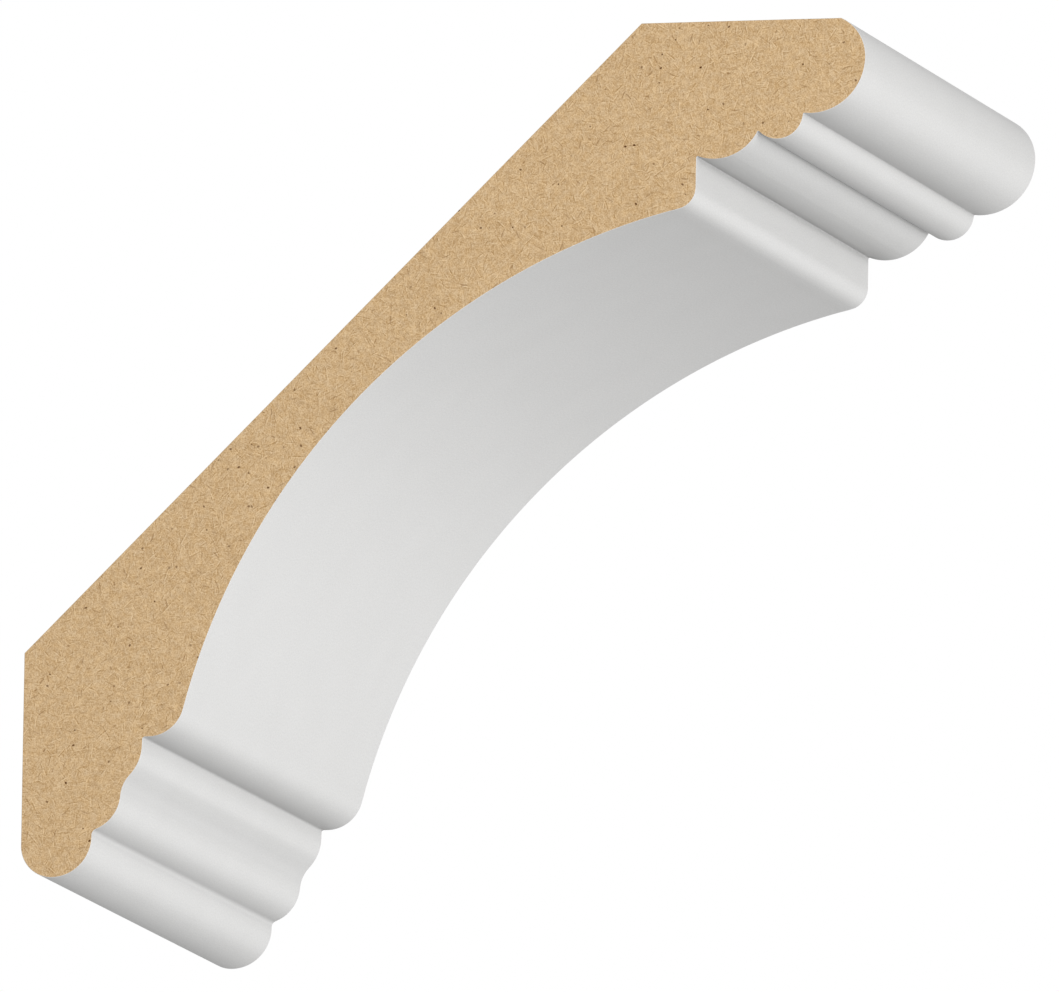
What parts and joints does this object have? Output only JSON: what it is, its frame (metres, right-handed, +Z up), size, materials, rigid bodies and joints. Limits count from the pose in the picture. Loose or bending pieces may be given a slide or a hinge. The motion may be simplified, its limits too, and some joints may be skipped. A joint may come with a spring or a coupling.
{
  "type": "crown moulding",
  "caption": "Short square-cut length of primed crown moulding: a broad cove between beaded edges, to be fixed in the corner between a wall and a ceiling.",
  "frame": {"origin": "middle of the upright wall face, at half its height and half the moulding's length", "axes": "+X out from the wall, +Y along the moulding, +Z up towards the ceiling"},
  "size_m": [0.0789, 0.06, 0.0776],
  "materials": {
    "primed_fibreboard": "smooth satin white primer on the moulded face; bare tan fibreboard on the sawn ends, the back and the two bearing faces"
  },
  "bodies": {
    "root": {"crown_moulding": "primed_fibreboard"}
  },
  "joints": []
}
